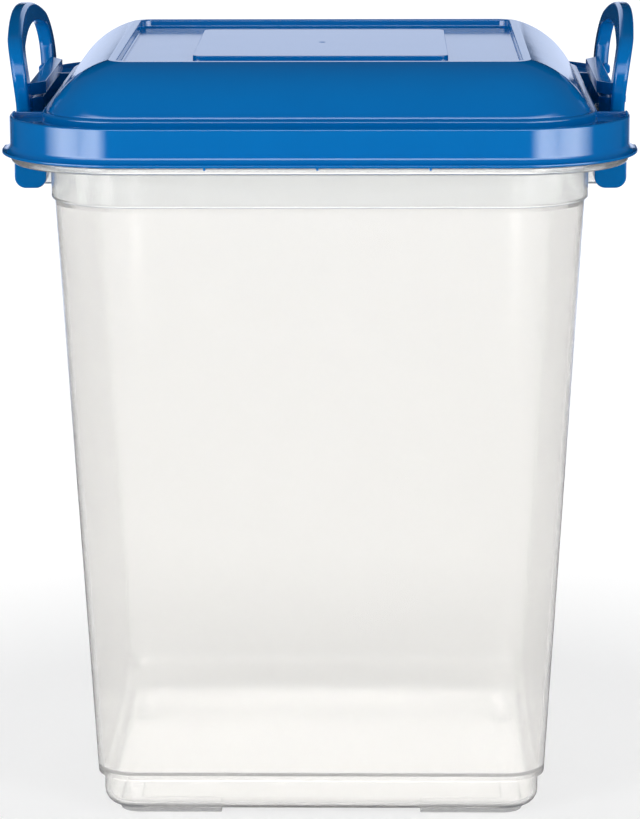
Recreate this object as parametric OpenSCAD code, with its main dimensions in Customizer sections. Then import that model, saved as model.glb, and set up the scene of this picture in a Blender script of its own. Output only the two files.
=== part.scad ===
// Rice bin: a clear square tub, a lift-off lid and two flip-up lock handles
// Millimetres, +Z up, origin on the floor under the middle of the tub, front towards -Y

/* [Tub] */
// Height of the lid's lower edge above the floor
lip_z = 305; // [220:1:380]
// Half width of the vertical neck band, outside
neck_half = 119.4; // [115:0.1:121]
// Radius of the neck band's corners, outside. All the rounded square outlines share their centres
neck_corner = 35.4; // [32:0.1:38]
// Height of the neck band below the lid's lower edge
neck_h = 20.8; // [14:0.1:30]
// How far the body steps in under the neck
neck_step = 1.5; // [0.5:0.1:3]
// How far the body's foot lies inside the neck band
foot_in = 17.1; // [12:0.1:20]
// Height above the floor where the body steps in to its base
base_z = 17.6; // [16:0.1:26]
// How far the base steps in
base_step = 2.8; // [1:0.1:4]
// Radius between the base's wall and its underside
base_round = 7; // [4:0.5:12]
// Wall thickness of the tub
wall = 2; // [1.8:0.1:3]
// Thickness of the tub's floor
floor_t = 2.5; // [2:0.1:4]
// Height of the mouth above the lid's lower edge
mouth_h = 14; // [12:0.1:14.5]
// How far the flange stays inside the lid's skirt
flange_in = 0.4; // [0.2:0.1:1]
// Thickness of the flange
flange_t = 3.4; // [2.4:0.1:4.5]
// Gap between the flange and the lid's lower edge
flange_gap = 0.6; // [0.3:0.1:1.5]

/* [Feet] */
// Height of the feet
foot_h = 2.7; // [1.5:0.1:4]
// How far the feet lie inside the body's foot
feet_in = 9.8; // [8:0.1:18]
// Width of the feet's band
foot_band = 10; // [6:0.5:16]
// Half of the gap between two feet
foot_gap = 45.5; // [30:0.5:60]

/* [Lid] */
// Thickness of the lid's shell
lid_t = 2.2; // [1.6:0.1:2.6]
// How far the lid's lower lip flares out from the skirt
lip_flare = 3.6; // [2.4:0.1:5]
// Height of the lip's upright edge
lip_h = 1.3; // [0.9:0.1:2]
// How far the skirt stands outside the plinth
skirt_out = 14.4; // [13.6:0.1:17]
// Thickness of the skirt
skirt_t = 1.7; // [1.2:0.1:2.4]
// Height of the skirt's rim above the lid's lower edge
rim_h = 16.5; // [16:0.1:22]
// Height of the gutter's floor above the lid's lower edge
gutter_h = 14; // [13:0.1:15]
// How far the plinth that the dome stands on lies outside the tub's neck
plinth_out = 3.6; // [2.8:0.1:4.6]
// Height of the plinth's ledge above the lid's lower edge
plinth_h = 18.2; // [17.8:0.1:20]
// Radius of the dome's curved sides
dome_r = 42; // [41:0.1:44]
// How far inside the tub's neck the curved sides would be level
dome_in = 36.9; // [35.4:0.1:39]
// Height above the lid's lower edge at which they would be level
dome_h = 41.9; // [41:0.1:43]
// Height of the flat rim round the tray above the lid's lower edge
top_h = 40.5; // [39.5:0.1:41]
// Radius between the curved sides and the flat rim
crest_r = 4; // [2.6:0.1:6]
// How far the edge of the sunk tray lies outside the place where the curved sides would be level
tray_out = 7; // [2.5:0.1:7.5]
// Depth of the tray
tray_depth = 3.7; // [1.5:0.1:5]
// Half width of the raised panel in the tray
panel_half = 57.5; // [40:0.5:70]
// Height of the raised panel
panel_h = 2.3; // [0.6:0.1:3]
// Radius of the moulding mark in the panel's middle
gate_r = 1.6; // [1:0.1:3]
// Width of the nibs under the lip
nib_w = 1; // [0.6:0.1:2]
// Spacing of the nibs under the lip
nib_pitch = 48.6; // [30:0.1:60]

/* [Seal] */
// Thickness of the sealing ring above the tub's mouth
seal_t = 2.4; // [1.6:0.1:2.6]
// Thickness of the wall that plugs the tub's mouth
plug_t = 2; // [1.5:0.1:2.5]
// Gap between the plugging wall and the tub
plug_gap = 1.4; // [0.5:0.1:2]
// Gap on each side of the sealing ring
seal_gap = 0.1; // [0.05:0.05:0.4]

/* [Handles] */
// Distance from each leg's inner edge to the corner's centre, along the side
leg_back = 30; // [29:0.5:38]
// Width of each leg along the side
leg_w = 16; // [10:0.5:17]
// Thickness of the handle
handle_t = 6.4; // [5:0.1:7.5]
// How far the handle's outer face stays inside the lid's skirt
handle_in = 1.3; // [0.4:0.1:2]
// Height of the handle's top above the lid's lower edge
handle_h = 56.8; // [50:0.1:75]
// Thickness of the arch at its top
arch_w = 8.8; // [7:0.1:12]
// Distance from the arch's widest place to the corner's centre, along the side
arch_back = 10.5; // [8:0.5:14]
// Width of the arch where it is widest
arch_side = 14.5; // [8:0.5:17]
// Radius of the arch's outer shoulders
shoulder_r = 19.5; // [10:0.5:22]
// Height of the outer shoulders' centres above the lid's lower edge
shoulder_h = 29.5; // [27:0.5:32]
// Radius of the arch's inner shoulders
inner_shoulder_r = 10; // [8:0.5:12]
// Height of the inner shoulders' centres above the lid's lower edge
inner_shoulder_h = 33; // [30:0.5:34]
// Height at which the legs start to spread
spread_h = 17; // [17:0.5:20]
// Height at which the handle starts to bend outwards
bend_h = 12.5; // [5:0.5:14]
// Radius of the handle's bend
bend_r = 148; // [120:1:400]
// Height of the hinge axis below the lid's lower edge
hinge_drop = 11.9; // [11.6:0.1:13.5]
// Half width of the legs' feet, and their depth below the hinge axis
foot_r = 7.15; // [6.5:0.05:7.3]
// Radius of the feet's lower corners
foot_round = 5; // [2:0.1:6]
// Height of the feet's square shoulders above the hinge axis
foot_top = 5; // [3:0.1:5.4]
// How far the feet stand out from the legs
foot_jut = 1.2; // [0.3:0.1:1.5]
// Length along the side of the bead on each leg
bead_w = 6; // [2:0.5:12]
// How far the bead juts out
bead_out = 1.2; // [0.5:0.1:1.4]
// Length of the slanted end of the latch tongue at each leg
tongue_end = 10; // [4:0.5:16]
// Thickness of the latch tongue
tongue_t = 5.4; // [4:0.1:5.8]
// Height of the tongue's top above the lid's lower edge
tongue_h = 26.4; // [24:0.1:27]
// Height of the tongue's hooked top
hook_h = 5.6; // [3:0.1:7]
// How far the hook juts in
hook_in = 1.3; // [0.2:0.1:2]
// Radius of each hinge pin
pin_r = 2; // [1.5:0.1:3]
// How far the pin reaches into the leg
pin_in = 11; // [7:0.5:13]
// Running clearance round the pin in the leg
pin_gap = 0.08; // [0.04:0.01:0.1]
// Width of the tub's hinge lugs
lug_w = 8.5; // [6:0.5:12]
// Gap between a leg and its lug, and at each end of the openings in the flange and the lid
side_gap = 0.5; // [0.3:0.1:1]

/* [Hidden] */
$fn = 64;

blue = [0.07, 0.36, 0.68];
clear = [0.86, 0.88, 0.89, 0.45];
silicone = [0.93, 0.93, 0.90];
steel = [0.72, 0.73, 0.75];

// Small overlap that welds neighbouring solids of one piece
weld = 0.4;
// Steps in a quarter of a rounded edge and along the dome's side
edge_steps = 5;
dome_steps = 16;
// Roundings of edges
soft = 1.2;
crisp = 0.4;

// Heights above the floor
body_top_z = lip_z - neck_h;
flange_top_z = lip_z - flange_gap;
flange_z = flange_top_z - flange_t;
mouth_z = lip_z + mouth_h;
roof_z = mouth_z + seal_t;
gutter_z = lip_z + gutter_h;
rim_z = lip_z + rim_h;
plinth_z = lip_z + plinth_h;
dome_z = lip_z + dome_h - dome_r;
hinge_z = lip_z - hinge_drop;
bend_z = lip_z + bend_h;
tongue_z = lip_z + tongue_h;
top_z = lip_z + top_h;
tray_z = top_z - tray_depth;

// Half widths and places that follow the tub's neck
corner_at = neck_half - neck_corner;
foot_half = neck_half - foot_in;
feet_half = foot_half - feet_in;
dome_at = neck_half - dome_in;
tray_half = dome_at + tray_out;
plinth_half = neck_half + plinth_out;
skirt_half = plinth_half + skirt_out;
leg_in = corner_at - leg_back;
arch_half = corner_at - arch_back;

// Half widths that follow the skirt
flange_half = skirt_half - flange_in;
lip_half = skirt_half + lip_flare;
handle_out = skirt_half - handle_in;

// Offsets of the outlines from the corner centres
neck_o = neck_half - corner_at;
body_o = neck_o - neck_step;
foot_o = foot_half - corner_at;
base_o = foot_o - base_step;
flange_o = flange_half - corner_at;
lip_o = lip_half - corner_at;
skirt_o = skirt_half - corner_at;
plinth_o = plinth_half - corner_at;
dome_o = dome_at - corner_at;
tray_o = tray_half - corner_at;
plug_o = neck_o - wall - plug_gap;
inner_skirt_o = plinth_o - lid_t;

// Height of a dome of radius r over the offset o
function dome_top(o, r) = dome_z + sqrt(r * r - (o - dome_o) * (o - dome_o));

// Points of an arc about the point at, from angle a to angle b
function arc(at, r, a, b, n = edge_steps) =
    [for (i = [0 : n]) let (t = a + (b - a) * i / n) at + r * [cos(t), sin(t)]];

// Sweeps a profile of (offset, height) round the square with its corner centres at corner_at
module round_square_sweep() {
    for (k = [0 : 3]) rotate(90 * k) translate([corner_at, corner_at, 0]) {
        rotate_extrude(angle = 90) children();
        rotate([90, 0, 0]) linear_extrude(2 * corner_at) children();
    }
}

// Slab inside the corner centres, which closes a swept floor or top
module middle_slab(z, t) {
    translate([-corner_at, -corner_at, z]) cube([2 * corner_at, 2 * corner_at, t]);
}

// Flat rounded square
module round_square(half, r) {
    for (k = [0, 90]) rotate(k) square([2 * half, 2 * (half - r)], center = true);
    for (x = [-1, 1], y = [-1, 1]) translate([x, y] * (half - r)) circle(r);
}

// Copies the children to the front and the rear
module front_and_rear() {
    for (s = [0, 1]) mirror([0, s, 0]) children();
}

// Copies the children to the right and the left
module right_and_left() {
    for (s = [0, 1]) mirror([s, 0, 0]) children();
}

// Where a leg stands: between the lug side and the end of its opening
leg_out = leg_in + leg_w;
opening_half = leg_out + side_gap;
// Half length of the opening in the lid, which the widest part of the arch clears when the lid rises
lid_opening_half = arch_half + side_gap;
hinge_x = handle_out + foot_jut - foot_r;

module tub_wall_profile() {
    slope = (body_o - foot_o) / (body_top_z - base_z);
    inner_base = base_round - floor_t;
    polygon(concat(
        arc([neck_o - crisp, mouth_z - crisp], crisp, 90, 0),
        [[neck_o, flange_top_z]],
        arc([flange_o - crisp, flange_top_z - crisp], crisp, 90, 0),
        arc([flange_o - soft, flange_z + soft], soft, 0, -90),
        [[neck_o, flange_z]],
        arc([neck_o - neck_step, body_top_z + neck_step], neck_step, 0, -90),
        [[body_o - crisp * slope, body_top_z - crisp]],
        arc([foot_o - soft, base_z + soft], soft, 0, -90),
        [[base_o, base_z]],
        arc([base_o - base_round, foot_h + base_round], base_round, 0, -90),
        [[0, foot_h], [0, foot_h + floor_t]],
        arc([base_o - base_round, foot_h + base_round], inner_base, -90, 0),
        [[base_o - wall, base_z + wall], [foot_o - wall, base_z + 2 * wall],
         [body_o - wall, body_top_z - wall], [neck_o - wall, body_top_z + neck_step],
         [neck_o - wall, mouth_z]]));
}

module tub_foot_outline() {
    difference() {
        round_square(feet_half, feet_half - corner_at + 1);
        square(2 * (feet_half - foot_band), center = true);
        for (k = [0, 90]) rotate(k) square([3 * feet_half, 2 * foot_gap], center = true);
    }
}

// Lug under the flange that carries one hinge pin
module hinge_lug() {
    lug_r = foot_r + 0.4;
    lug_out = leg_in - side_gap;
    arm = hinge_x - neck_half + wall / 2;
    translate([hinge_x, lug_out, hinge_z]) rotate([90, 0, 0]) {
        cylinder(h = lug_w, r = lug_r);
        translate([-arm, -lug_r, 0]) cube([arm, 2 * lug_r, lug_w]);
    }
    // Gusset that ties the lug to the flange beside the opening
    web_out = handle_out - handle_t - tongue_t;
    translate([neck_half - wall / 2, lug_out - lug_w, hinge_z])
        cube([web_out - neck_half, lug_w, flange_z - hinge_z + crisp]);
}

module container_body() {
    color(clear) difference() {
        union() {
            difference() {
                union() {
                    round_square_sweep() tub_wall_profile();
                    middle_slab(foot_h, floor_t);
                    linear_extrude(foot_h + crisp) tub_foot_outline();
                }
                // Openings in the flange that the handles stand in
                right_and_left() translate([opening_x, -opening_half, flange_z - 1])
                    cube([lip_half, 2 * opening_half, flange_t + 2]);
            }
            right_and_left() front_and_rear() hinge_lug();
        }
        right_and_left() front_and_rear() hinge_bore(pin_r + 0.02);
    }
}

// Inner end of the openings in the flange
opening_x = plinth_half + 0.8;

// Straight bore on the hinge axis, through the lug and into the leg
module hinge_bore(r) {
    lug_in = leg_in - side_gap - lug_w;
    translate([hinge_x, lug_in - 1, hinge_z]) rotate([-90, 0, 0])
        cylinder(h = leg_in + pin_in + side_gap - lug_in + 1, r = r);
}

// Dome, plinth and the two walls that take the tub's mouth between them
module lid_inner_profile() {
    inner_r = dome_r - lid_t;
    tray_in = tray_o + lid_t;
    // Centre of the rounding that meets the curved side and the flat rim smoothly
    crest_up = top_z - crest_r - dome_z;
    crest_out = sqrt((dome_r - crest_r) * (dome_r - crest_r) - crest_up * crest_up);
    crest_at = [dome_o + crest_out, top_z - crest_r];
    crest_a = atan2(crest_up, crest_out);
    // Where the curved side ends on the ledge, and its inner face on the plugging wall
    foot_a = asin((plinth_z - dome_z) / dome_r);
    plug_a = asin((dome_top(plug_o - plug_t, inner_r) - dome_z) / inner_r);
    polygon(concat(
        [[0, tray_z], [tray_o, tray_z], [tray_o, top_z]],
        arc(crest_at, crest_r, 90, crest_a),
        arc([dome_o, dome_z], dome_r, crest_a, foot_a, dome_steps),
        [[plinth_o - crisp, plinth_z], [plinth_o, plinth_z - crisp],
         [plinth_o, lip_z + 1], [inner_skirt_o, lip_z + 1],
         [inner_skirt_o, roof_z], [plug_o, roof_z], [plug_o, lip_z],
         [plug_o - plug_t, lip_z]],
        arc([dome_o, dome_z], inner_r, plug_a, crest_a, dome_steps),
        arc(crest_at, crest_r - lid_t, crest_a, 90),
        [[tray_in, top_z - lid_t], [tray_in, tray_z - lid_t], [0, tray_z - lid_t]]));
}

// Gutter, skirt and flared lip
module lid_outer_profile() {
    top_r = skirt_t / 2;
    polygon(concat(
        [[plinth_o - weld, gutter_z], [skirt_o - skirt_t, gutter_z]],
        arc([skirt_o - top_r, rim_z - top_r], top_r, 180, 0),
        arc([lip_o - crisp, lip_z + lip_h + lip_flare - crisp], lip_flare - crisp, 180, 270),
        arc([lip_o - crisp, lip_z + lip_h - crisp], crisp, 90, 0),
        arc([lip_o - crisp, lip_z + crisp], crisp, 0, -90),
        [[skirt_o - skirt_t, lip_z], [skirt_o - skirt_t, gutter_z - lid_t],
         [plinth_o - weld, gutter_z - lid_t]]));
}

module lid_cover() {
    color(blue) {
        round_square_sweep() lid_inner_profile();
        middle_slab(tray_z - lid_t, lid_t);
        difference() {
            round_square_sweep() lid_outer_profile();
            // Openings that the handles stand in and flip out through
            right_and_left() translate([plinth_half, -lid_opening_half, lip_z - 1])
                cube([lip_half, 2 * lid_opening_half, rim_h + 2]);
        }
        // Walls that close the ends of each opening
        right_and_left() front_and_rear() translate([plinth_half - weld, lid_opening_half, lip_z + 1])
            cube([skirt_half - plinth_half, skirt_t, rim_h - 1]);
        // Raised panel with the moulding mark in its middle
        difference() {
            translate([0, 0, tray_z - weld]) linear_extrude(weld + panel_h)
                round_square(panel_half, 4);
            translate([0, 0, tray_z + panel_h / 2]) cylinder(h = panel_h, r = gate_r);
        }
        // Nibs under the lip, front and rear
        front_and_rear() for (i = [-1 : 1])
            translate([i * nib_pitch - nib_w / 2, -lip_half + crisp, lip_z - nib_w])
                cube([nib_w, lip_half - flange_half - 2 * crisp, nib_w + crisp]);
    }
}

module lid_seal() {
    color(silicone) round_square_sweep() translate([plug_o + seal_gap, mouth_z])
        square([inner_skirt_o - plug_o - 2 * seal_gap, seal_t]);
}

// Filled outline of an arch above spread_h: legs that spread to its widest, two shoulders and a crown
module arch_outline(foot, half, top, shoulder, shoulder_h) {
    at = [half - shoulder, shoulder_h];
    // Where each leg's edge runs smoothly into its shoulder
    span = [foot, spread_h] - at;
    leg_a = atan2(span.y, span.x) + acos(shoulder / norm(span));
    // The crown's radius at which it meets both shoulders smoothly
    rise = top - shoulder_h;
    crown = (at.x * at.x + rise * rise - shoulder * shoulder) / (2 * (rise - shoulder));
    crown_a = atan2(at.y - top + crown, at.x);
    side = concat(
        arc(at, shoulder, leg_a, crown_a, 2 * edge_steps),
        arc([0, top - crown], crown, crown_a, 90, 2 * edge_steps));
    for (s = [0, 1]) mirror([s, 0]) polygon(concat([[0, spread_h], [foot, spread_h]], side));
}

// Inner face of a leg and of the latch tongue
leg_x = handle_out - handle_t;
tongue_x = leg_x - tongue_t + 1.9;

// Bar of the latch tongue with its inner face at inner_x, its ends slanted into the legs
module tongue_bar(inner_x, h) {
    side = [[tongue_x + tongue_t, leg_in + weld], [leg_x + 1.2, leg_in + weld], [inner_x, leg_in - tongue_end]];
    linear_extrude(h) polygon(concat(side, [for (i = [2 : -1 : 0]) [side[i].x, -side[i].y]]));
}

// One handle on the right-hand side, standing upright
module handle() {
    foot_side = foot_r - foot_round;
    difference() {
        union() {
            // Arch, cut from a sheet that bends outwards
            intersection() {
                translate([leg_x + bend_r, 0, bend_z]) rotate([90, 0, 0])
                    linear_extrude(2 * arch_half, center = true) difference() {
                        circle(bend_r);
                        circle(bend_r - handle_t);
                    }
                translate([leg_x, 0, lip_z]) rotate([90, 0, 90]) linear_extrude(3 * handle_t) {
                    difference() {
                        arch_outline(leg_out, arch_half, handle_h, shoulder_r, shoulder_h);
                        arch_outline(leg_in, arch_half - arch_side, handle_h - arch_w,
                            inner_shoulder_r, inner_shoulder_h);
                    }
                    for (s = [0, 1]) mirror([s, 0]) translate([leg_in, bend_h])
                        square([leg_w, spread_h - bend_h + 0.01]);
                }
            }
            front_and_rear() translate([0, leg_in, 0]) {
                // Straight leg through the lid and flange
                translate([leg_x, 0, hinge_z]) cube([handle_t, leg_w, bend_z - hinge_z + 0.1]);
                // Bead just above the skirt's rim
                translate([handle_out, bead_w, rim_z + 1]) rotate([90, 0, 0]) linear_extrude(bead_w)
                    polygon([[-1, 0], [0, 0], [bead_out, 1], [bead_out, 4.2], [0, 5.2], [-1, 5.2]]);
                // Foot on the hinge pin, rounded below
                translate([hinge_x, leg_w, hinge_z]) rotate([90, 0, 0]) linear_extrude(leg_w)
                    polygon(concat(
                        [[-foot_r, foot_top], [foot_r, foot_top]],
                        arc([foot_side, -foot_side], foot_round, 0, -90),
                        arc([-foot_side, -foot_side], foot_round, -90, -180)));
            }
            // Web between the legs, and the latch tongue on it
            translate([tongue_x, -leg_in - weld, hinge_z + foot_r + 1.6])
                cube([tongue_t, 2 * (leg_in + weld), lip_z + 12 - hinge_z - foot_r - 1.6]);
            translate([0, 0, lip_z]) tongue_bar(tongue_x, tongue_h);
            translate([0, 0, tongue_z - hook_h]) tongue_bar(tongue_x - hook_in, hook_h);
        }
        front_and_rear() hinge_bore(pin_r + pin_gap);
    }
}

module right_handle() {
    color(blue) handle();
}

module left_handle() {
    color(blue) mirror([1, 0, 0]) handle();
}

// One pin on the right-hand side at the rear, pressed into its lug
module hinge_pin() {
    lug_in = leg_in - side_gap - lug_w;
    translate([hinge_x, lug_in, hinge_z]) rotate([-90, 0, 0])
        cylinder(h = leg_in + pin_in - lug_in, r = pin_r);
}

module right_rear_hinge_pin() {
    color(steel) hinge_pin();
}

module right_front_hinge_pin() {
    color(steel) mirror([0, 1, 0]) hinge_pin();
}

module left_rear_hinge_pin() {
    color(steel) mirror([1, 0, 0]) hinge_pin();
}

module left_front_hinge_pin() {
    color(steel) mirror([1, 0, 0]) mirror([0, 1, 0]) hinge_pin();
}

container_body();
lid_cover();
lid_seal();
left_handle();
right_handle();
left_front_hinge_pin();
left_rear_hinge_pin();
right_front_hinge_pin();
right_rear_hinge_pin();
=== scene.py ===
"""Rice bin with two flip-up handles: how it looks, in metres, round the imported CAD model."""

import math

import bmesh
import bpy
from mathutils import Matrix, Vector


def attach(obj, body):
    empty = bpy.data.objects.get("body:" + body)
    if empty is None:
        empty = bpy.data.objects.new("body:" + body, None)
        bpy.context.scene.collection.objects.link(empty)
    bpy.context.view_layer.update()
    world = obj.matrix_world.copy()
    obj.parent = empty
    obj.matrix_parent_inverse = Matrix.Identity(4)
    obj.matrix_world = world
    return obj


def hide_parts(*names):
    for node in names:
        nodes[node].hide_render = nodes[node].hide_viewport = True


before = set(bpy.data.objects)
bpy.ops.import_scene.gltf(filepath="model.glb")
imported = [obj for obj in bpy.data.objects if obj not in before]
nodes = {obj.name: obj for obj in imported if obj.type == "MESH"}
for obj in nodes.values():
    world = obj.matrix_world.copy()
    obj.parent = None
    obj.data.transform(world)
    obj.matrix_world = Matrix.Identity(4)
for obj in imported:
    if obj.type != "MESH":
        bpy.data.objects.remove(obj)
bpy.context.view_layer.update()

MM = 0.001

# Sizes in millimetres, as in the CAD source. Heights count from the lid's lower edge at LIP_Z,
# and offsets outwards from the centres of the rounded corners at CORNER_AT.
LIP_Z = 305.0
CORNER_AT = 84.0

NECK = 35.4
NECK_STEP = 1.5
BODY_TOP = -20.8
FOOT = 18.3
BASE = 15.5
BASE_TOP = -287.4
BASE_ROUND = 7.0
FOOT_H = 2.7
WALL = 2.0
FLOOR_T = 2.5
MOUTH = 14.0
FLANGE = 53.0
FLANGE_TOP = -0.6
FLANGE_T = 3.4
# Feet, from the middle of the bin: outer and inner face of the band, and where it ends
FEET_OUT = 92.5
FEET_IN = 82.5
FEET_END = 45.5
FEET_ROUND = 9.5

SKIRT = 53.4
SKIRT_T = 1.7
LIP_FLARE = 3.6
LIP_H = 1.3
RIM = 16.5
GUTTER = 14.0
SHELL_T = 2.2
PLINTH = 39.0
PLINTH_H = 18.2
DOME_AT = -1.5
DOME_R = 42.0
DOME_H = 41.9
TOP = 40.5
CREST_R = 4.0
TRAY = 5.5
TRAY_DEPTH = 3.7
PANEL_HALF = 57.5
PANEL_H = 2.3
GATE_R = 1.6
NIB_W = 1.0
NIB_PITCH = 48.6
PLUG = 32.0
PLUG_T = 2.0
ROOF = 16.4

LEG_IN = 54.0
LEG_OUT = 70.0
LEG_X = 129.7
HANDLE_T = 6.4
HANDLE_H = 56.8
ARCH_W = 8.8
ARCH_HALF = 73.5
ARCH_SIDE = 14.5
SHOULDER_R = 19.5
SHOULDER_H = 29.5
INNER_SHOULDER_R = 10.0
INNER_SHOULDER_H = 33.0
SPREAD_H = 17.0
BEND_H = 12.5
BEND_R = 148.0
HINGE_X = 130.15
HINGE = -11.9
FOOT_R = 7.15
FOOT_TOP = 5.0
BEAD_W = 6.0
BEAD_OUT = 1.2
TONGUE_X = 126.2
TONGUE_T = 5.4
TONGUE_END = 10.0
TONGUE_H = 26.4
HOOK_H = 5.6
HOOK_IN = 1.3
PIN_R = 2.0
PIN_IN = 11.0
LUG_W = 8.5
SIDE_GAP = 0.5
# Rounding of the handle's long edges, inboard and outboard
EDGE_IN = 1.5
EDGE_OUT = 2.0

# How far a part runs into the one that it is joined to
OVERLAP = 0.4
# How far from the middle the cutters for the side openings reach, clear of the bin
CUTTER_OUT = 150.0
# Room round a pin in its lug and in its leg
LUG_FIT = 0.02
LEG_FIT = 0.08
# Points of a mesh nearer than this become one
WELD = 0.002
# Edges sharper than this many degrees stay crisp in the shading
CRISP = 33
DOME_STEPS = 28


# Colours and shader nodes


def colour(code, alpha=1.0):
    """Turns an sRGB hex colour into the linear colour that Blender wants."""
    channels = [int(code[i : i + 2], 16) / 255 for i in (1, 3, 5)]
    linear = [c / 12.92 if c <= 0.04045 else ((c + 0.055) / 1.055) ** 2.4 for c in channels]
    return (*linear, alpha)


def add_node(tree, kind, settings=(), **inputs):
    """Adds a node. Settings are its properties; an input is a value or the socket that feeds it."""
    node = tree.nodes.new(kind)
    for name, value in dict(settings).items():
        setattr(node, name, value)
    for name, value in inputs.items():
        socket = node.inputs[int(name[1:])] if name[1:].isdigit() else node.inputs[name.replace("_", " ")]
        if isinstance(value, bpy.types.NodeSocket):
            tree.links.new(value, socket)
        else:
            socket.default_value = value
    return node


def new_material(name):
    """An empty material, its tree and its output node."""
    material = bpy.data.materials.new(name)
    material.use_nodes = True
    tree = material.node_tree
    tree.nodes.clear()
    return material, tree, tree.nodes.new("ShaderNodeOutputMaterial")


def moulded_blue(name, roughness, specular):
    """Polypropylene, injection moulded: glossy or satin, with the faint ripple of a moulded skin."""
    material, tree, output = new_material(name)
    place = add_node(tree, "ShaderNodeTexCoord").outputs["Object"]
    # Ripple a few centimetres across, a few hundredths of a millimetre deep
    ripple = add_node(tree, "ShaderNodeTexNoise", Vector=place, Scale=28.0, Detail=1.0)
    bump = add_node(tree, "ShaderNodeBump", Strength=0.12, Distance=0.4 * MM, Height=ripple.outputs["Fac"])
    # Slight unevenness of the pigment
    cloud = add_node(tree, "ShaderNodeTexNoise", Vector=place, Scale=45.0, Detail=2.0)
    tint = add_node(tree, "ShaderNodeMix", {"data_type": "RGBA"}, i0=cloud.outputs["Fac"])
    tint.inputs[6].default_value = colour("#0066AB")
    tint.inputs[7].default_value = colour("#006AB0")
    skin = add_node(
        tree, "ShaderNodeBsdfPrincipled", Base_Color=tint.outputs[2], Roughness=roughness, IOR=1.5,
        Specular_IOR_Level=specular, Normal=bump.outputs["Normal"],
    )
    tree.links.new(skin.outputs["BSDF"], output.inputs["Surface"])
    return material


def clear_tub():
    """Clear polypropylene, injection moulded: see-through with a milky cast."""
    material, tree, output = new_material("clear_polypropylene")
    place = add_node(tree, "ShaderNodeTexCoord").outputs["Object"]
    ripple = add_node(tree, "ShaderNodeTexNoise", Vector=place, Scale=22.0, Detail=1.0)
    bump = add_node(tree, "ShaderNodeBump", Strength=0.1, Distance=0.4 * MM, Height=ripple.outputs["Fac"])
    # Painted shade: the neck band is tinted a little greyer than the body, to stand in for the shade it
    # shows
    height = add_node(tree, "ShaderNodeSeparateXYZ", Vector=place).outputs["Z"]
    neck = add_node(
        tree, "ShaderNodeMapRange", Value=height,
        i1=(LIP_Z + BODY_TOP - 1.0) * MM, i2=(LIP_Z + BODY_TOP + 1.0) * MM,
    )
    tint = add_node(tree, "ShaderNodeMix", {"data_type": "RGBA"}, i0=neck.outputs[0])
    tint.inputs[6].default_value = colour("#FFFEFC")
    tint.inputs[7].default_value = colour("#F2F3F2")
    skin = add_node(
        tree, "ShaderNodeBsdfPrincipled", Base_Color=tint.outputs[2], Roughness=0.12, IOR=1.42,
        Transmission_Weight=0.82, Normal=bump.outputs["Normal"],
    )
    tree.links.new(skin.outputs["BSDF"], output.inputs["Surface"])
    return material


def moulded_silicone():
    """Food-safe silicone: soft white, matt."""
    material, tree, output = new_material("white_silicone")
    place = add_node(tree, "ShaderNodeTexCoord").outputs["Object"]
    fine = add_node(tree, "ShaderNodeTexNoise", Vector=place, Scale=900.0, Detail=2.0)
    bump = add_node(tree, "ShaderNodeBump", Strength=0.1, Distance=0.1 * MM, Height=fine.outputs["Fac"])
    skin = add_node(
        tree, "ShaderNodeBsdfPrincipled", Base_Color=colour("#E9E9E4"), Roughness=0.55, IOR=1.42,
        Normal=bump.outputs["Normal"],
    )
    tree.links.new(skin.outputs["BSDF"], output.inputs["Surface"])
    return material


def drawn_steel():
    """Stainless wire, drawn: fine lines along its length."""
    material, tree, output = new_material("drawn_steel_wire")
    place = add_node(tree, "ShaderNodeTexCoord").outputs["Object"]
    long = add_node(tree, "ShaderNodeMapping", Vector=place, Scale=(4000.0, 60.0, 4000.0))
    lines = add_node(tree, "ShaderNodeTexNoise", Vector=long.outputs["Vector"], Scale=1.0, Detail=2.0)
    bump = add_node(tree, "ShaderNodeBump", Strength=0.15, Distance=0.05 * MM, Height=lines.outputs["Fac"])
    skin = add_node(
        tree, "ShaderNodeBsdfPrincipled", Base_Color=colour("#C9CACC"), Metallic=1.0, Roughness=0.3,
        Normal=bump.outputs["Normal"],
    )
    tree.links.new(skin.outputs["BSDF"], output.inputs["Surface"])
    return material


# Outlines and closed shapes


def arc(x, z, radius, start, end, steps=6):
    """Points of an arc about (x, z), between two angles in degrees."""
    points = []
    for i in range(steps + 1):
        angle = math.radians(start + (end - start) * i / steps)
        points.append((x + radius * math.cos(angle), z + radius * math.sin(angle)))
    return points


def rounded(corners, steps=4, closed=False):
    """Rounds the corners of a line. Each corner is (x, z) or (x, z, radius)."""
    count = len(corners)
    points = []
    for i, corner in enumerate(corners):
        here = Vector(corner[:2])
        radius = corner[2] if len(corner) > 2 else 0.0
        if radius == 0.0 or (not closed and i in (0, count - 1)):
            points.append(tuple(here))
            continue
        back = (Vector(corners[i - 1][:2]) - here).normalized()
        ahead = (Vector(corners[(i + 1) % count][:2]) - here).normalized()
        half = math.acos(max(-1.0, min(1.0, back.dot(ahead)))) / 2
        reach = radius / math.tan(half)
        middle = here + (back + ahead).normalized() * (radius / math.sin(half))
        first = here + back * reach - middle
        last = here + ahead * reach - middle
        turn = first.angle_signed(last)
        for k in range(steps + 1):
            points.append(tuple(middle + Matrix.Rotation(-turn * k / steps, 2) @ first))
    return points


def mesh_of(shape, name):
    """Turns a bmesh into a mesh with its faces outwards."""
    bmesh.ops.remove_doubles(shape, verts=shape.verts, dist=WELD * MM)
    bmesh.ops.recalc_face_normals(shape, faces=shape.faces)
    mesh = bpy.data.meshes.new(name)
    shape.to_mesh(mesh)
    shape.free()
    return mesh


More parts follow.
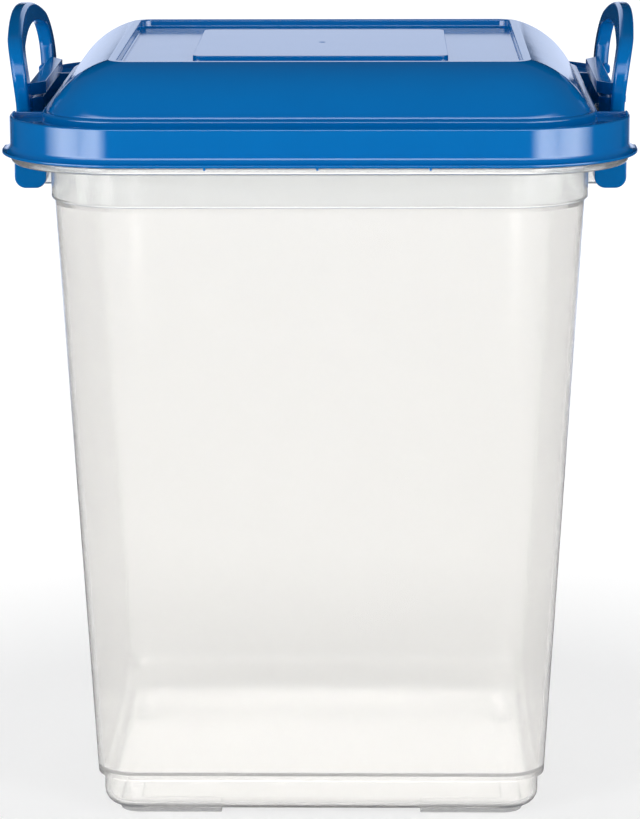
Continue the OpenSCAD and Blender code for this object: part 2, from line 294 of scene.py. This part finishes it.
def prism(outline, axis, low, high, edge=0.0):
    """A closed outline pulled straight from low to high along an axis, its sharp edges rounded by edge.

    Along Y the outline holds (x, z) and along Z it holds (x, y), all in millimetres.
    """
    shape = bmesh.new()
    rings = []
    for level in (low, high):
        ring = []
        for a, b in outline:
            place = (a, level, b) if axis == "Y" else (a, b, level)
            ring.append(shape.verts.new(Vector(place) * MM))
        rings.append(ring)
    shape.faces.new(rings[0])
    shape.faces.new(rings[1])
    for i in range(len(outline)):
        k = (i + 1) % len(outline)
        shape.faces.new((rings[0][i], rings[0][k], rings[1][k], rings[1][i]))
    bmesh.ops.recalc_face_normals(shape, faces=shape.faces)
    if edge > 0.0:
        sharp = [e for e in shape.edges if e.calc_face_angle(0.0) > math.radians(40)]
        bmesh.ops.bevel(
            shape, geom=sharp, offset=edge * MM, segments=3, profile=0.5, affect="EDGES", clamp_overlap=True,
        )
    return mesh_of(shape, "prism")


def block(low, high, edge=0.0):
    """A box between two corners in millimetres, its edges rounded by edge."""
    outline = [(low[0], low[1]), (high[0], low[1]), (high[0], high[1]), (low[0], high[1])]
    return prism(outline, "Z", low[2], high[2], edge)


def mirrored(mesh, x=1, y=1):
    """A copy of a mesh, mirrored in X or Y."""
    shape = bmesh.new()
    shape.from_mesh(mesh)
    bmesh.ops.scale(shape, vec=(x, y, 1), verts=shape.verts)
    return mesh_of(shape, mesh.name)


def four_corners(mesh):
    """A mesh and its mirror images at the other three corners or sides."""
    return [mirrored(mesh, x, y) for x in (1, -1) for y in (1, -1)]


def joined(meshes):
    """Several closed meshes in one."""
    shape = bmesh.new()
    for mesh in meshes:
        shape.from_mesh(mesh)
    mesh = bpy.data.meshes.new("joined")
    shape.to_mesh(mesh)
    shape.free()
    return mesh


def plain_mesh(holder):
    """The mesh of an object with its modifiers applied. The object is deleted."""
    bpy.context.collection.objects.link(holder)
    graph = bpy.context.evaluated_depsgraph_get()
    mesh = bpy.data.meshes.new_from_object(holder.evaluated_get(graph))
    bpy.data.objects.remove(holder)
    return mesh


def combined(mesh, tool, operation):
    """Exact union or difference of two closed meshes."""
    body = bpy.data.objects.new("body", mesh)
    other = bpy.data.objects.new("tool", tool)
    bpy.context.collection.objects.link(other)
    modifier = body.modifiers.new(operation.lower(), "BOOLEAN")
    modifier.operation = operation
    modifier.solver = "EXACT"
    modifier.object = other
    result = plain_mesh(body)
    bpy.data.objects.remove(other)
    return result


# Sweep round the bin's plan, with Geometry Nodes

PATH_RADIUS = 30.0
CORNER_STEPS = 24


def build_sweep_tree():
    """Sweeps an outline of (offset, height) round a square with rounded corners."""
    tree = bpy.data.node_groups.new("sweep_round_square", "GeometryNodeTree")
    sockets = tree.interface
    sockets.new_socket("Outline", in_out="INPUT", socket_type="NodeSocketGeometry")
    sockets.new_socket("Path width", in_out="INPUT", socket_type="NodeSocketFloat")
    sockets.new_socket("Corner radius", in_out="INPUT", socket_type="NodeSocketFloat")
    sockets.new_socket("Corner steps", in_out="INPUT", socket_type="NodeSocketInt")
    sockets.new_socket("Finish", in_out="INPUT", socket_type="NodeSocketMaterial")
    sockets.new_socket("Shell", in_out="OUTPUT", socket_type="NodeSocketGeometry")
    given = tree.nodes.new("NodeGroupInput").outputs
    square = add_node(
        tree, "GeometryNodeCurvePrimitiveQuadrilateral",
        Width=given["Path width"], Height=given["Path width"],
    )
    path = add_node(
        tree, "GeometryNodeFilletCurve", {"mode": "POLY"}, Curve=square.outputs[0],
        Count=given["Corner steps"], Radius=given["Corner radius"],
    )
    upright = add_node(tree, "GeometryNodeSetCurveNormal", {"mode": "Z_UP"}, Curve=path.outputs[0])
    outline = add_node(tree, "GeometryNodeMeshToCurve", Mesh=given["Outline"])
    swept = add_node(
        tree, "GeometryNodeCurveToMesh", Curve=upright.outputs[0], Profile_Curve=outline.outputs[0],
        Fill_Caps=False,
    )
    real = add_node(tree, "GeometryNodeRealizeInstances", Geometry=swept.outputs[0])
    finished = add_node(
        tree, "GeometryNodeSetMaterial", Geometry=real.outputs[0], Material=given["Finish"],
    )
    output = tree.nodes.new("NodeGroupOutput")
    tree.links.new(finished.outputs[0], output.inputs["Shell"])
    return tree


sweep_tree = build_sweep_tree()


def swept_shell(outline, finish):
    """A closed shell: the outline swept round the plan, with its two square ends filled."""
    line = bpy.data.meshes.new("outline")
    # The sweep turns the outline's own Y downwards
    points = [((o - PATH_RADIUS) * MM, -(LIP_Z + z) * MM, 0.0) for o, z in outline]
    line.from_pydata(points, [(i, i + 1) for i in range(len(points) - 1)], [])
    holder = bpy.data.objects.new("outline", line)
    modifier = holder.modifiers.new("sweep", "NODES")
    modifier.node_group = sweep_tree
    sizes = {
        "Path width": 2 * (CORNER_AT + PATH_RADIUS) * MM,
        "Corner radius": PATH_RADIUS * MM,
        "Corner steps": CORNER_STEPS,
        "Finish": finish,
    }
    for socket in sweep_tree.interface.items_tree:
        if socket.name in sizes:
            modifier[socket.identifier] = sizes[socket.name]
    shape = bmesh.new()
    shape.from_mesh(plain_mesh(holder))
    bmesh.ops.remove_doubles(shape, verts=shape.verts, dist=WELD * MM)
    rims = [edge for edge in shape.edges if edge.is_boundary]
    bmesh.ops.holes_fill(shape, edges=rims, sides=0)
    return mesh_of(shape, "shell")


# The offset at which a swept floor or top changes to one flat face
MIDDLE = 2.0


def build_tub():
    """Tub wall, flange, neck, body, base and floor in one shell, with feet, lugs and openings."""
    flange_low = FLANGE_TOP - FLANGE_T
    floor_low = FOOT_H - LIP_Z
    floor_top = floor_low + FLOOR_T
    body = NECK - NECK_STEP
    shell = swept_shell(rounded([
        (MIDDLE, floor_top),
        (BASE - WALL, floor_top, BASE_ROUND - FLOOR_T),
        (BASE - WALL, BASE_TOP + WALL, 1.0),
        (FOOT - WALL, BASE_TOP + 2 * WALL, 1.0),
        (body - WALL, BODY_TOP - WALL, 1.0),
        (NECK - WALL, BODY_TOP + NECK_STEP, 0.8),
        (NECK - WALL, MOUTH, 0.5),
        (NECK, MOUTH, 0.5),
        (NECK, FLANGE_TOP, 0.4),
        (FLANGE, FLANGE_TOP, 0.5),
        (FLANGE, flange_low, 1.5),
        (NECK, flange_low, 0.9),
        (NECK, BODY_TOP, 1.4),
        (body, BODY_TOP, 0.05),
        (FOOT, BASE_TOP, 1.3),
        (BASE, BASE_TOP, 0.5),
        (BASE, floor_low, BASE_ROUND),
        (MIDDLE, floor_low),
    ], steps=5), clear)
    # Feet: a low band at each bottom corner
    foot = prism(rounded([
        (FEET_END, FEET_IN),
        (FEET_IN, FEET_IN, 2.0),
        (FEET_IN, FEET_END),
        (FEET_OUT, FEET_END),
        (FEET_OUT, FEET_OUT, FEET_ROUND),
        (FEET_END, FEET_OUT),
    ], closed=True), "Z", 0.0, FOOT_H + 0.5, 0.6)
    # Lugs under the flange that carry the hinge pins
    lug_r = FOOT_R + 0.4
    lug_out = LEG_IN - SIDE_GAP
    root = CORNER_AT + NECK - WALL / 2
    web_out = LEG_X - TONGUE_T - 1.0
    lug_top = flange_low + OVERLAP
    lug_line = [(root, lug_top), (web_out, lug_top), (web_out, HINGE + lug_r)]
    lug_line += arc(HINGE_X, HINGE, lug_r, 90, -90, 16)
    lug_line += [(root, HINGE - lug_r)]
    lug = prism([(x, LIP_Z + z) for x, z in lug_line], "Y", lug_out - LUG_W, lug_out, 0.4)
    shell = combined(shell, joined(four_corners(foot) + four_corners(lug)), "UNION")
    # Openings in the flange for the legs, and the bores for the pins
    opening = LEG_OUT + SIDE_GAP
    slot = block(
        (CORNER_AT + PLINTH + 0.8, -opening, LIP_Z + flange_low - 1),
        (CUTTER_OUT, opening, LIP_Z + FLANGE_TOP + 1),
    )
    cuts = [slot, mirrored(slot, x=-1)] + four_corners(pin_bore(PIN_R + LUG_FIT))
    return combined(shell, joined(cuts), "DIFFERENCE")


def pin_bore(radius):
    """The space for one hinge pin, through its lug and into the leg."""
    circle = arc(HINGE_X, LIP_Z + HINGE, radius, 0, 345, 23)
    return prism(circle, "Y", LEG_IN - SIDE_GAP - LUG_W - 1, LEG_IN + PIN_IN + SIDE_GAP)


def build_lid():
    """Tray, dome, plinth, gutter, skirt and flared lip in one shell, with openings at the sides."""
    tray = TOP - TRAY_DEPTH
    dome_z = DOME_H - DOME_R
    crest_up = TOP - CREST_R - dome_z
    crest_out = math.sqrt((DOME_R - CREST_R) ** 2 - crest_up**2)
    crest_x = DOME_AT + crest_out
    crest_angle = math.degrees(math.atan2(crest_up, crest_out))
    inner_r = DOME_R - SHELL_T
    plug_in = PLUG - PLUG_T
    plug_angle = math.degrees(math.acos((plug_in - DOME_AT) / inner_r))
    foot_angle = math.degrees(math.asin((PLINTH_H + 1.0 - dome_z) / DOME_R))
    foot_x = DOME_AT + DOME_R * math.cos(math.radians(foot_angle)) + 0.15
    skirt_in = SKIRT - SKIRT_T
    dome = arc(DOME_AT, dome_z, DOME_R, crest_angle, foot_angle, DOME_STEPS)
    inner_dome = arc(DOME_AT, dome_z, inner_r, plug_angle, crest_angle, DOME_STEPS)
    outline = [(MIDDLE, tray)]
    outline += rounded([
        (MIDDLE, tray), (TRAY, tray, 0.9), (TRAY + 0.3, TOP, 0.8), (crest_x, TOP),
    ])[1:-1]
    outline += arc(crest_x, TOP - CREST_R, CREST_R, 90, crest_angle, 6)
    outline += dome[1:-1]
    outline += rounded([
        dome[-1],
        (foot_x, PLINTH_H, 0.7),
        (PLINTH, PLINTH_H, 1.0),
        (PLINTH, GUTTER, 0.6),
        (skirt_in, GUTTER, 0.6),
        (skirt_in, RIM, SKIRT_T / 2 - 0.01),
        (SKIRT, RIM, SKIRT_T / 2 - 0.01),
        (SKIRT, LIP_H, LIP_FLARE - 0.5),
        (SKIRT + LIP_FLARE, LIP_H, 0.4),
        (SKIRT + LIP_FLARE, 0.0, 0.5),
        (skirt_in, 0.0, 0.3),
        (skirt_in, GUTTER - SHELL_T, 0.5),
        (PLINTH, GUTTER - SHELL_T, 0.5),
        (PLINTH, 1.0, 0.4),
        (PLINTH - SHELL_T, 1.0, 0.4),
        (PLINTH - SHELL_T, ROOF),
        (PLUG, ROOF),
        (PLUG, 0.0, 0.5),
        (plug_in, 0.0, 0.5),
        inner_dome[0],
    ], steps=5)
    outline += inner_dome[1:]
    outline += arc(crest_x, TOP - CREST_R, CREST_R - SHELL_T, crest_angle, 90, 3)[1:]
    outline += [(TRAY + SHELL_T, TOP - SHELL_T), (TRAY + SHELL_T, tray - SHELL_T), (MIDDLE, tray - SHELL_T)]
    shell = swept_shell(outline, blue)
    # Walls at the ends of the side openings
    opening = ARCH_HALF + SIDE_GAP
    plinth_x = CORNER_AT + PLINTH
    end_wall = block(
        (plinth_x - OVERLAP, opening, LIP_Z + 1),
        (CORNER_AT + SKIRT - OVERLAP, opening + SKIRT_T, LIP_Z + RIM - 0.3),
        0.3,
    )
    # Raised panel in the tray
    panel_line = rounded([
        (x * PANEL_HALF, y * PANEL_HALF, 4.0) for x, y in ((1, 1), (-1, 1), (-1, -1), (1, -1))
    ], steps=8, closed=True)
    panel = prism(panel_line, "Z", LIP_Z + tray - 0.6, LIP_Z + tray + PANEL_H, 0.5)
    # Nibs under the lip, front and rear
    lip_out = CORNER_AT + SKIRT + LIP_FLARE - OVERLAP
    nibs = []
    for i in (-1, 0, 1):
        nib = block(
            (i * NIB_PITCH - NIB_W / 2, CORNER_AT + FLANGE + 0.4, LIP_Z - NIB_W),
            (i * NIB_PITCH + NIB_W / 2, lip_out, LIP_Z + OVERLAP),
        )
        nibs += [nib, mirrored(nib, y=-1)]
    shell = combined(shell, joined(four_corners(end_wall) + [panel] + nibs), "UNION")
    # Openings that the handles stand in, and the mark that the moulding gate leaves
    slot = block((plinth_x + 0.05, -opening, LIP_Z - 1), (CUTTER_OUT, opening, LIP_Z + RIM + 1))
    gate = prism(arc(0, 0, GATE_R, 0, 345, 23), "Z", LIP_Z + tray + PANEL_H / 2, LIP_Z + tray + PANEL_H + 1)
    return combined(shell, joined([slot, mirrored(slot, x=-1), gate]), "DIFFERENCE")


def arch_side(foot, half, top, shoulder, shoulder_h):
    """One side of an arch from its foot to the crown, as (y, z): leg, shoulder and crown."""
    at = Vector((half - shoulder, shoulder_h))
    span = Vector((foot, SPREAD_H)) - at
    leg_a = math.degrees(math.atan2(span.y, span.x) + math.acos(shoulder / span.length))
    rise = top - shoulder_h
    crown = (at.x**2 + rise**2 - shoulder**2) / (2 * (rise - shoulder))
    crown_a = math.degrees(math.atan2(at.y - top + crown, at.x))
    bend = arc(at.x, at.y, shoulder, leg_a, crown_a, 20)
    start = Vector((foot, SPREAD_H))
    leg = [tuple(start.lerp(Vector(bend[0]), i / 5)) for i in range(5)]
    return leg + bend + arc(0, top - crown, crown, crown_a, 90, 16)[1:]


def sheet_x(depth, z):
    """Distance from the middle of the bin at a depth into the handle's sheet, which bends outwards."""
    if z <= BEND_H:
        return LEG_X + depth
    return LEG_X + BEND_R - math.sqrt((BEND_R - depth) ** 2 - (z - BEND_H) ** 2)


def build_arch():
    """Legs and arch of a handle: rings of a rounded section along the arch."""
    outer = arch_side(LEG_OUT, ARCH_HALF, HANDLE_H, SHOULDER_R, SHOULDER_H)
    inner = arch_side(LEG_IN, ARCH_HALF - ARCH_SIDE, HANDLE_H - ARCH_W, INNER_SHOULDER_R, INNER_SHOULDER_H)
    levels = [HINGE + (SPREAD_H - HINGE) * i / 8 for i in range(8)]
    stations = [((LEG_OUT, z), (LEG_IN, z)) for z in levels] + list(zip(outer, inner))
    stations += [((-a[0], a[1]), (-b[0], b[1])) for a, b in reversed(stations[:-1])]
    shape = bmesh.new()
    rings = []
    for far, near in stations:
        far, near = Vector(far), Vector(near)
        width = (far - near).length
        across = (far - near) / width
        section = rounded([
            (0, 0, EDGE_IN), (width, 0, EDGE_IN), (width, HANDLE_T, EDGE_OUT), (0, HANDLE_T, EDGE_OUT),
        ], steps=5, closed=True)
        ring = []
        for u, depth in section:
            y, z = near + across * u
            ring.append(shape.verts.new(Vector((sheet_x(depth, z), y, LIP_Z + z)) * MM))
        rings.append(ring)
    count = len(rings[0])
    for one, two in zip(rings, rings[1:]):
        for i in range(count):
            k = (i + 1) % count
            shape.faces.new((one[i], one[k], two[k], two[i]))
    shape.faces.new(rings[0])
    shape.faces.new(rings[-1])
    return mesh_of(shape, "arch")


def tongue_bar(inner_x, low, high):
    """A bar of the latch tongue between two heights. Its ends slant into the legs."""
    side = [
        (TONGUE_X + TONGUE_T, LEG_IN + OVERLAP),
        (LEG_X + 1.2, LEG_IN + OVERLAP),
        (inner_x, LEG_IN - TONGUE_END),
    ]
    plan = side + [(x, -y) for x, y in reversed(side)]
    return prism(plan, "Z", LIP_Z + low, LIP_Z + high, 0.5)


def build_handle():
    """The right-hand handle: arch, feet, beads, web and latch tongue, less the bores for its pins."""
    foot_line = rounded([
        (HINGE_X - FOOT_R, LIP_Z + HINGE + FOOT_TOP, 0.8),
        (HINGE_X + FOOT_R, LIP_Z + HINGE + FOOT_TOP, 0.8),
        (HINGE_X + FOOT_R, LIP_Z + HINGE - FOOT_R, 5.0),
        (HINGE_X - FOOT_R, LIP_Z + HINGE - FOOT_R, 5.0),
    ], steps=8, closed=True)
    foot = prism(foot_line, "Y", LEG_IN, LEG_OUT, 0.8)
    face = LEG_X + HANDLE_T
    bead_z = LIP_Z + RIM + 1
    bead_line = rounded([
        (face - 2, bead_z), (face - 0.3, bead_z), (face + BEAD_OUT, bead_z + 1.2, 0.8),
        (face + BEAD_OUT, bead_z + 4.0, 0.8), (face - 0.3, bead_z + 5.4), (face - 2, bead_z + 5.4),
    ], closed=True)
    bead = prism(bead_line, "Y", LEG_IN + 0.4, LEG_IN + BEAD_W, 0.4)
    web_low = LIP_Z + HINGE + FOOT_R + 1.6
    web = block((TONGUE_X, -LEG_IN - 2, web_low), (TONGUE_X + TONGUE_T, LEG_IN + 2, LIP_Z + 12), 0.9)
    tongue = tongue_bar(TONGUE_X, 1.0, TONGUE_H - HOOK_H - HOOK_IN)
    hook = tongue_bar(TONGUE_X - HOOK_IN, TONGUE_H - HOOK_H, TONGUE_H)
    handle = build_arch()
    feet = joined([foot, mirrored(foot, y=-1)])
    beads = joined([bead, mirrored(bead, y=-1)])
    for extra in (feet, web, tongue, hook, beads):
        handle = combined(handle, extra, "UNION")
    bore = pin_bore(PIN_R + LEG_FIT)
    return combined(handle, joined([bore, mirrored(bore, y=-1)]), "DIFFERENCE")


def finished_piece(name, mesh, material, body, node):
    """Gives a mesh its smooth shading and finish, and puts it on its body in place of the CAD node."""
    mesh.name = name
    mesh.materials.clear()
    mesh.materials.append(material)
    for face in mesh.polygons:
        face.material_index = 0
    mesh.shade_smooth()
    mesh.set_sharp_from_angle(angle=math.radians(CRISP))
    piece = bpy.data.objects.new(name, mesh)
    bpy.context.collection.objects.link(piece)
    modifier = piece.modifiers.new("even_normals", "WEIGHTED_NORMAL")
    modifier.keep_sharp = True
    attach(piece, body)
    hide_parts(node)
    return piece


blue = moulded_blue("glossy_blue_polypropylene", 0.1, 0.5)
satin_blue = moulded_blue("satin_blue_polypropylene", 0.13, 0.3)
clear = clear_tub()
silicone = moulded_silicone()
steel = drawn_steel()

finished_piece("tub_shell", build_tub(), clear, "container", "container_body")
finished_piece("lid_shell", build_lid(), blue, "lid", "lid_cover")
right = build_handle()
left = mirrored(right, x=-1)
finished_piece("right_arch_handle", right, satin_blue, "right_handle", "right_handle")
finished_piece("left_arch_handle", left, satin_blue, "left_handle", "left_handle")

for name, node in nodes.items():
    node.data.materials.clear()
    node.data.materials.append({"lid_seal": silicone}.get(name, steel))


# Studio

FLOOR_HALF = 1.9
# Colour and brightness of the sweep behind the bin, as gloss shows it
SWEEP = "#D6E3FF"
SWEEP_LIGHT = 1.12
# Brightness of the cards that gloss shows in front, and of the dim rest of the studio
SIDE_CARD = 9.0
FRONT_CARD = 6.0
DIM = 0.07
# Brightness of the plain white that the camera sees round the bin
BACKDROP = 1.12
# Where the floor turns from unlit to bright sweep, in metres behind the bin
SWEEP_NEAR = 0.5
SWEEP_FAR = 1.1
# Distance from the bin over which plain white takes over from the shadow, and its share at both ends
SHADOW_NEAR = 0.2
SHADOW_FAR = 0.4
WHITE_NEAR = 0.56
WHITE_FAR = 0.85
# Black cards behind the bin, each as left, right, low and high edge in metres
FLAG_BACK = 1.0
FLAGS = (
    (-0.12, 0.13, 0.0, 0.39),
    (-0.7, -0.215, 0.41, 1.2),
    (0.185, 0.7, 0.41, 1.2),
)
# Lamps: name, place and size in metres, and power in watts. All of them face AIM
AIM = (0.0, 0.0, 0.18)
LAMPS = (
    ("left_softbox", (-1.35, -1.5, 0.55), (0.7, 1.0), 20),
    ("right_softbox", (1.35, -1.5, 0.55), (0.7, 1.0), 18),
    ("top_softbox", (0.0, 0.2, 1.8), (1.2, 1.2), 1.5),
    ("rear_softbox", (0.0, 1.9, 0.45), (1.4, 0.8), 8),
)
# Camera: place in millimetres, turn in radians, and focal length in pixels of the picture's height
CAMERA_AT = (26.712, -1679.89, 524.566)
CAMERA_PITCH = 0.2082
CAMERA_YAW = 0.0168
CAMERA_ROLL = -0.0027
FOCAL_PIXELS = 3618.06
PICTURE_PIXELS = 819
SENSOR = 36.0


def seen_as_backdrop(tree):
    """One where the camera, or a look through the clear tub, meets the surface."""
    path = add_node(tree, "ShaderNodeLightPath")
    return add_node(
        tree, "ShaderNodeMath", {"operation": "MAXIMUM"},
        i0=path.outputs["Is Camera Ray"], i1=path.outputs["Is Transmission Ray"],
    ).outputs[0]


def seen_in_gloss(tree):
    """One where a glossy surface shows this one as a reflection."""
    path = add_node(tree, "ShaderNodeLightPath")
    return product(tree, path.outputs["Is Glossy Ray"], path.outputs["Is Reflection Ray"])


def product(tree, one, two):
    """Two values multiplied."""
    return add_node(tree, "ShaderNodeMath", {"operation": "MULTIPLY"}, i0=one, i1=two).outputs[0]


def band(tree, value, low, high, soft):
    """One where a value lies between low and high, with soft ends."""
    rise = add_node(tree, "ShaderNodeMapRange", Value=value, i1=low - soft, i2=low + soft)
    fall = add_node(tree, "ShaderNodeMapRange", Value=value, i1=high - soft, i2=high + soft, i3=1.0, i4=0.0)
    return product(tree, rise.outputs[0], fall.outputs[0])


def build_floor():
    """A wide floor that shows as white and keeps the bin's shadow."""
    mesh = bpy.data.meshes.new("floor")
    corners = [(x * FLOOR_HALF, y * FLOOR_HALF, 0.0) for x, y in ((-1, -1), (1, -1), (1, 1), (-1, 1))]
    mesh.from_pydata(corners, [], [(0, 1, 2, 3)])
    floor = bpy.data.objects.new("floor", mesh)
    bpy.context.collection.objects.link(floor)
    material, tree, output = new_material("white_floor_paper")
    paper = add_node(tree, "ShaderNodeBsdfDiffuse", Color=colour("#F4F4F4"))
    # Gloss sees the bright sweep behind the bin and an unlit floor in front of it
    point = add_node(tree, "ShaderNodeTexCoord").outputs["Object"]
    place = add_node(tree, "ShaderNodeSeparateXYZ", Vector=point)
    bright = add_node(
        tree, "ShaderNodeMapRange", Value=place.outputs["Y"],
        i1=SWEEP_NEAR, i2=SWEEP_FAR, i3=DIM, i4=SWEEP_LIGHT,
    )
    aside = add_node(tree, "ShaderNodeMath", {"operation": "ABSOLUTE"}, i0=place.outputs["X"]).outputs[0]
    bright = product(tree, bright.outputs[0], band(tree, aside, -1.0, 0.7, 0.15))
    sweep = add_node(tree, "ShaderNodeEmission", Color=colour(SWEEP), Strength=bright)
    lit = add_node(
        tree, "ShaderNodeMixShader", i0=seen_in_gloss(tree),
        i1=paper.outputs[0], i2=sweep.outputs[0],
    )
    # Most of what the camera sees is plain white, and the rest is paper that shows the shadow
    white = add_node(tree, "ShaderNodeEmission", Color=(1, 1, 1, 1), Strength=BACKDROP)
    reach = add_node(tree, "ShaderNodeVectorMath", {"operation": "LENGTH"}, i0=point)
    share = add_node(
        tree, "ShaderNodeMapRange", Value=reach.outputs["Value"],
        i1=SHADOW_NEAR, i2=SHADOW_FAR, i3=WHITE_NEAR, i4=WHITE_FAR,
    )
    skin = add_node(
        tree, "ShaderNodeMixShader", i0=product(tree, seen_as_backdrop(tree), share.outputs[0]),
        i1=lit.outputs[0], i2=white.outputs[0],
    )
    tree.links.new(skin.outputs[0], output.inputs["Surface"])
    mesh.materials.append(material)


def build_flags():
    """Black cards behind the bin that only gloss sees: they keep the handles' inner and top faces dark."""
    corners, faces = [], []
    for near, far, low, high in FLAGS:
        first = len(corners)
        corners += [(x, FLAG_BACK, z) for x, z in ((near, low), (far, low), (far, high), (near, high))]
        faces.append(tuple(range(first, first + 4)))
    mesh = bpy.data.meshes.new("black_flags")
    mesh.from_pydata(corners, [], faces)
    flag = bpy.data.objects.new("black_flags", mesh)
    bpy.context.collection.objects.link(flag)
    material, tree, output = new_material("black_card")
    clear_air = add_node(tree, "ShaderNodeBsdfTransparent")
    black = add_node(tree, "ShaderNodeBsdfDiffuse", Color=colour("#101418"))
    skin = add_node(
        tree, "ShaderNodeMixShader", i0=seen_in_gloss(tree), i1=clear_air.outputs[0], i2=black.outputs[0],
    )
    tree.links.new(skin.outputs[0], output.inputs["Surface"])
    mesh.materials.append(material)


def build_world():
    """White backdrop and even pale light. Gloss sees a dim studio with a bright sweep and bright cards."""
    world = bpy.data.worlds.new("studio")
    bpy.context.scene.world = world
    world.use_nodes = True
    tree = world.node_tree
    tree.nodes.clear()
    view = add_node(tree, "ShaderNodeTexCoord").outputs["Generated"]
    way = add_node(tree, "ShaderNodeSeparateXYZ", Vector=view)
    aside = add_node(tree, "ShaderNodeMath", {"operation": "ABSOLUTE"}, i0=way.outputs["X"]).outputs[0]
    behind, up = way.outputs["Y"], way.outputs["Z"]
    # The sweep stands low behind the bin
    sweep = product(tree, band(tree, behind, 0.0, 2.0, 0.05), band(tree, up, -0.2, 0.4, 0.05))
    sweep = product(tree, sweep, band(tree, aside, -1.0, 0.3, 0.06))
    # A card stands at each side of the front, and a long one higher up across it
    side_card = product(tree, band(tree, aside, 0.4, 2.0, 0.08), band(tree, up, -0.3, 0.3, 0.06))
    front_card = product(tree, band(tree, aside, -1.0, 0.8, 0.1), band(tree, up, 0.24, 0.6, 0.06))
    cards = add_node(
        tree, "ShaderNodeMath", {"operation": "MAXIMUM"},
        i0=product(tree, side_card, SIDE_CARD), i1=product(tree, front_card, FRONT_CARD),
    ).outputs[0]
    cards = product(tree, cards, band(tree, behind, -2.0, -0.25, 0.17))
    shown = None
    sweep = product(tree, sweep, SWEEP_LIGHT)
    for tint, strength in (("#FFFFFF", DIM), (SWEEP, sweep), ("#FFFFFF", cards)):
        part = add_node(tree, "ShaderNodeBackground", Color=colour(tint), Strength=strength).outputs[0]
        if shown is None:
            shown = part
        else:
            shown = add_node(tree, "ShaderNodeAddShader", i0=shown, i1=part).outputs[0]
    light = add_node(tree, "ShaderNodeBackground", Color=colour("#F0F1F4"), Strength=0.4)
    white = add_node(tree, "ShaderNodeBackground", Color=(1, 1, 1, 1), Strength=BACKDROP)
    lit = add_node(tree, "ShaderNodeMixShader", i0=seen_in_gloss(tree), i1=light.outputs[0], i2=shown)
    mixed = add_node(
        tree, "ShaderNodeMixShader", i0=seen_as_backdrop(tree), i1=lit.outputs[0], i2=white.outputs[0],
    )
    add_node(tree, "ShaderNodeOutputWorld", Surface=mixed.outputs[0])


def add_softbox(name, place, size, power):
    """A rectangular lamp at place that faces the bin. Gloss sees the cards in its stead."""
    lamp = bpy.data.lights.new(name, "AREA")
    lamp.shape = "RECTANGLE"
    lamp.size, lamp.size_y = size
    lamp.energy = power
    holder = bpy.data.objects.new(name, lamp)
    bpy.context.collection.objects.link(holder)
    holder.visible_glossy = False
    holder.location = place
    holder.rotation_euler = (Vector(AIM) - Vector(place)).to_track_quat("-Z", "Y").to_euler()


def build_camera():
    """The photograph's viewing angle: from the front, a little above and to the right."""
    lens = bpy.data.cameras.new("camera")
    lens.sensor_fit = "VERTICAL"
    lens.sensor_height = SENSOR
    lens.lens = SENSOR * FOCAL_PIXELS / PICTURE_PIXELS
    lens.clip_start = 0.05
    camera = bpy.data.objects.new("camera", lens)
    bpy.context.collection.objects.link(camera)
    camera.location = Vector(CAMERA_AT) * MM
    yaw = Matrix.Rotation(CAMERA_YAW, 3, "Z")
    tilt = Matrix.Rotation(math.pi / 2 - CAMERA_PITCH, 3, "X")
    roll = Matrix.Rotation(CAMERA_ROLL, 3, "Z")
    camera.rotation_euler = (yaw @ tilt @ roll).to_euler()
    bpy.context.scene.camera = camera


build_floor()
build_flags()
build_world()
for lamp_name, place, size, power in LAMPS:
    add_softbox(lamp_name, place, size, power)
build_camera()
bpy.context.scene.view_settings.view_transform = "Standard"
